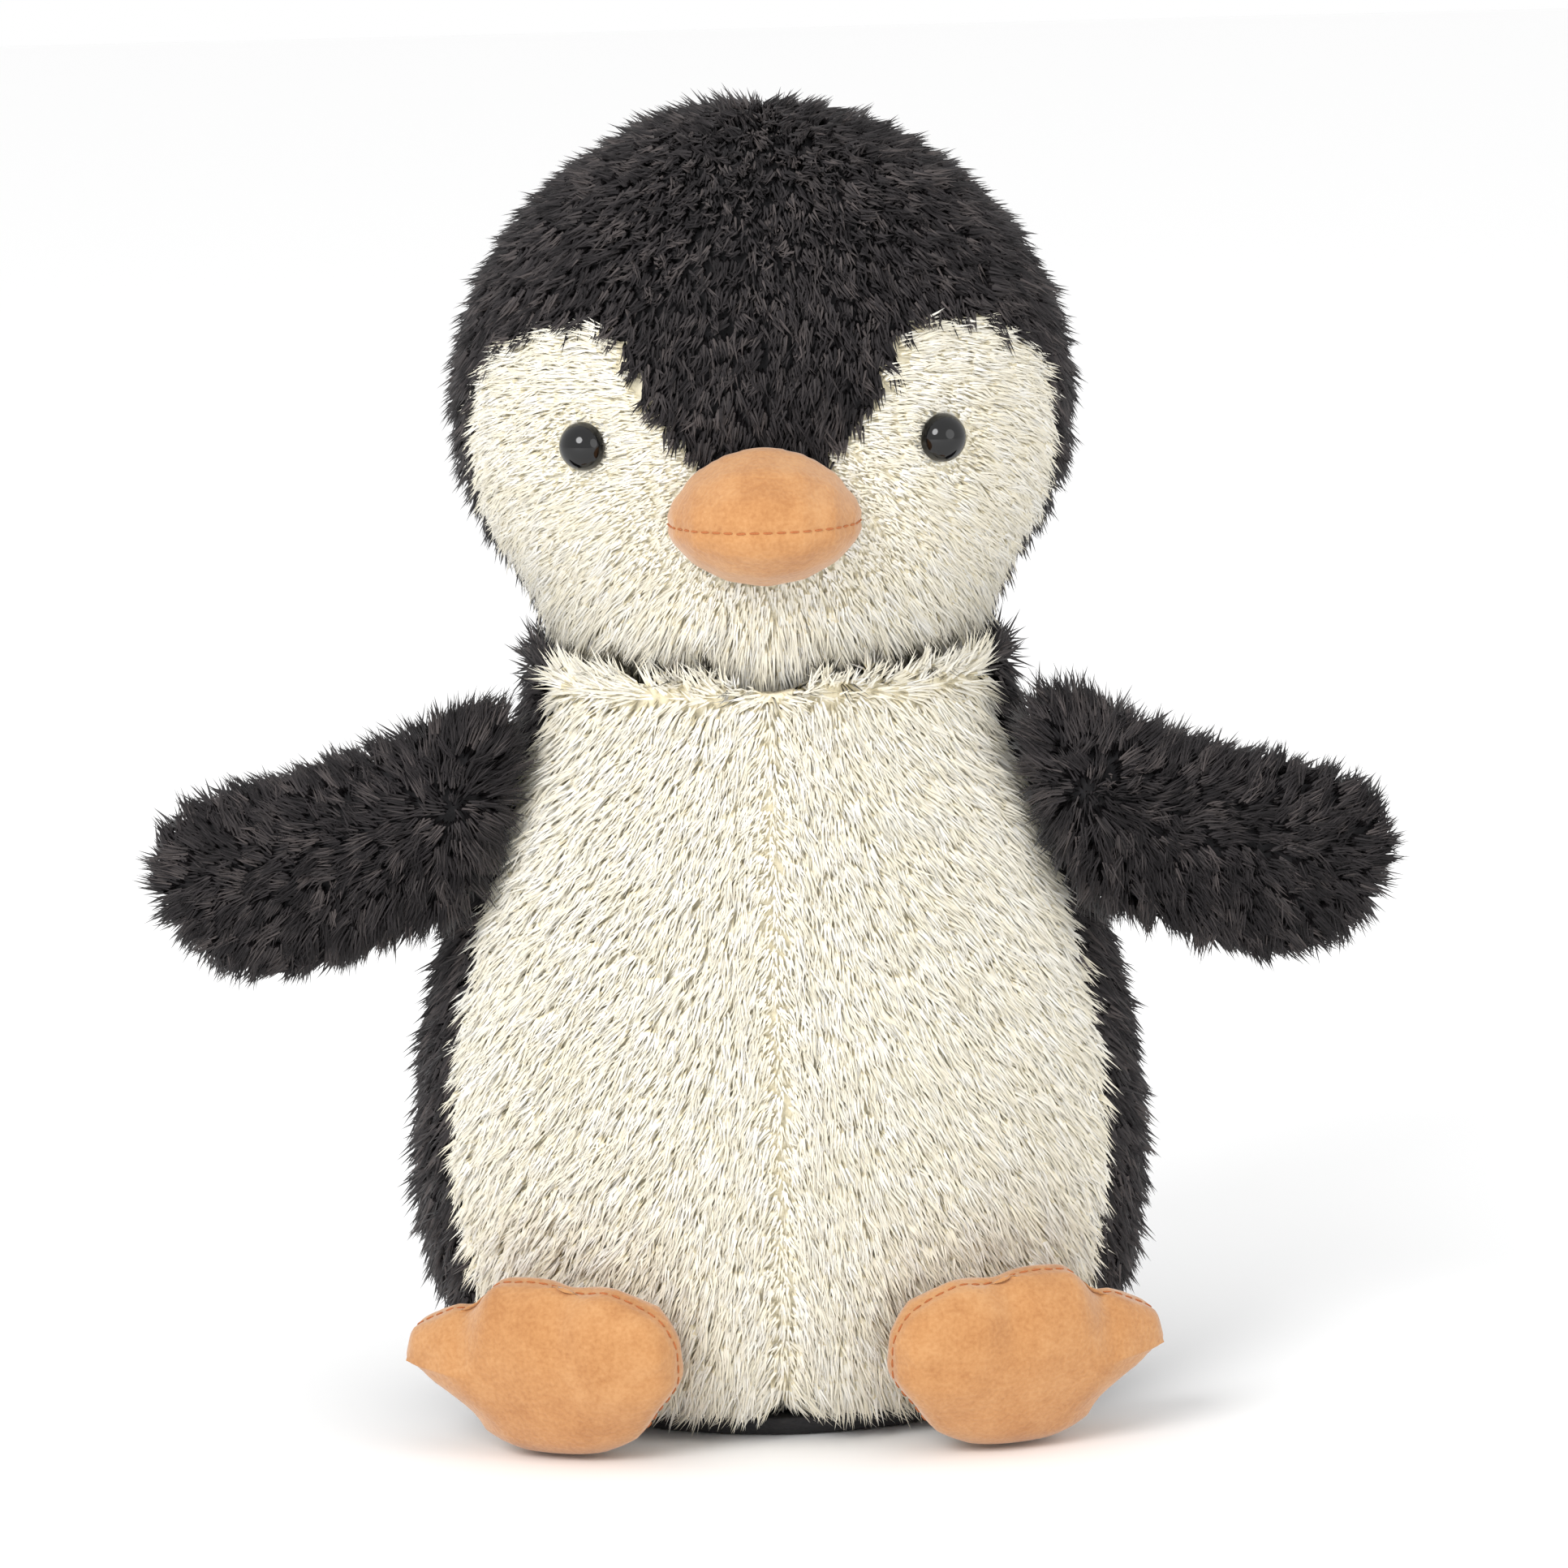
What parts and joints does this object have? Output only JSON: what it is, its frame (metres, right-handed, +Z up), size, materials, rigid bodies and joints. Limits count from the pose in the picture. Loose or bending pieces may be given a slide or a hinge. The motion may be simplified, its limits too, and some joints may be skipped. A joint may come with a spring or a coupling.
{
  "type": "plush penguin",
  "caption": "Standing stuffed penguin toy of long-pile plush with suede beak and feet, dome eyes, and soft joints at neck, wings and feet.",
  "frame": {"origin": "middle of the flat base, on the surface the toy stands on", "axes": "+Z up through the head, -Y the way the toy faces, +X the toy's own left side"},
  "size_m": [0.2171, 0.1168, 0.2298],
  "materials": {
    "dark_plush": "charcoal long-pile plush, combed into small locks",
    "cream_plush": "warm cream long-pile plush",
    "orange_suede": "short-pile microfibre suede",
    "base_cloth": "charcoal short-pile cloth",
    "fibre_filling": "loose polyester fibre",
    "cotton_cloth": "plain woven cotton",
    "dark_thread": "doubled polyester thread",
    "eye_plastic": "polished black moulded plastic",
    "washer_plastic": "natural moulded plastic",
    "pellet_plastic": "plastic pellets"
  },
  "bodies": {
    "torso": {"belly_left": "cream_plush", "belly_right": "cream_plush", "back_left": "dark_plush", "back_right": "dark_plush", "base_panel": "base_cloth", "body_filling": "fibre_filling", "weight_bag_upper": "cotton_cloth", "weight_bag_lower": "cotton_cloth", "weight_pellets": "pellet_plastic", "closing_stitch": "dark_thread"},
    "neck": {"neck_filling": "fibre_filling"},
    "neck_seam": {"neck_seam_thread": "dark_thread"},
    "head": {"hood_left": "dark_plush", "hood_right": "dark_plush", "face_left": "cream_plush", "face_right": "cream_plush", "head_filling": "fibre_filling", "beak_upper": "orange_suede", "beak_lower": "orange_suede", "beak_filling": "fibre_filling", "left_eye": "eye_plastic", "right_eye": "eye_plastic", "left_eye_washer": "washer_plastic", "right_eye_washer": "washer_plastic"},
    "left_wing_seam": {"left_wing_seam_thread": "dark_thread"},
    "left_wing": {"left_wing_front": "dark_plush", "left_wing_back": "dark_plush", "left_wing_filling": "fibre_filling"},
    "left_foot": {"left_foot_sole": "orange_suede", "left_foot_upper": "orange_suede", "left_foot_filling": "fibre_filling"},
    "right_wing_seam": {"right_wing_seam_thread": "dark_thread"},
    "right_wing": {"right_wing_front": "dark_plush", "right_wing_back": "dark_plush", "right_wing_filling": "fibre_filling"},
    "right_foot": {"right_foot_sole": "orange_suede", "right_foot_upper": "orange_suede", "right_foot_filling": "fibre_filling"}
  },
  "joints": [
    {"name": "head_turn", "type": "hinge", "parent": "torso", "child": "neck", "pos_m": [0, 0, 0.1548], "axis": [0, 0, 1], "range_deg": [-30, 30], "stiffness_Nm_per_rad": 0.2},
    {"name": "head_tilt", "type": "hinge", "parent": "neck", "child": "neck_seam", "pos_m": [0, 0, 0.1548], "axis": [0, 1, 0], "range_deg": [-10, 10], "stiffness_Nm_per_rad": 0.4},
    {"name": "head_nod", "type": "hinge", "parent": "neck_seam", "child": "head", "pos_m": [0, 0, 0.1548], "axis": [1, 0, 0], "range_deg": [-10, 12], "stiffness_Nm_per_rad": 0.4},
    {"name": "left_wing_flap", "type": "hinge", "parent": "torso", "child": "left_wing_seam", "pos_m": [0.05572, -0.02281, 0.10812], "axis": [0, -1, 0], "range_deg": [-10, 10], "stiffness_Nm_per_rad": 0.15},
    {"name": "left_wing_swing", "type": "hinge", "parent": "left_wing_seam", "child": "left_wing", "pos_m": [0.05572, -0.02281, 0.10812], "axis": [-0.3278, 0, 0.9447], "range_deg": [-60, 40], "stiffness_Nm_per_rad": 0.08},
    {"name": "right_wing_flap", "type": "hinge", "parent": "torso", "child": "right_wing_seam", "pos_m": [-0.05572, -0.02281, 0.10812], "axis": [0, 1, 0], "range_deg": [-10, 10], "stiffness_Nm_per_rad": 0.15},
    {"name": "right_wing_swing", "type": "hinge", "parent": "right_wing_seam", "child": "right_wing", "pos_m": [-0.05572, -0.02281, 0.10812], "axis": [-0.3361, 0, -0.9418], "range_deg": [-60, 40], "stiffness_Nm_per_rad": 0.08},
    {"name": "left_foot_bend", "type": "hinge", "parent": "torso", "child": "left_foot", "pos_m": [0.03877, -0.04822, 0.0093], "axis": [0.9135, 0.4067, 0], "range_deg": [-3, 60], "stiffness_Nm_per_rad": 0.08},
    {"name": "right_foot_bend", "type": "hinge", "parent": "torso", "child": "right_foot", "pos_m": [-0.03877, -0.04822, 0.0093], "axis": [0.9135, -0.4067, 0], "range_deg": [-3, 60], "stiffness_Nm_per_rad": 0.08}
  ]
}
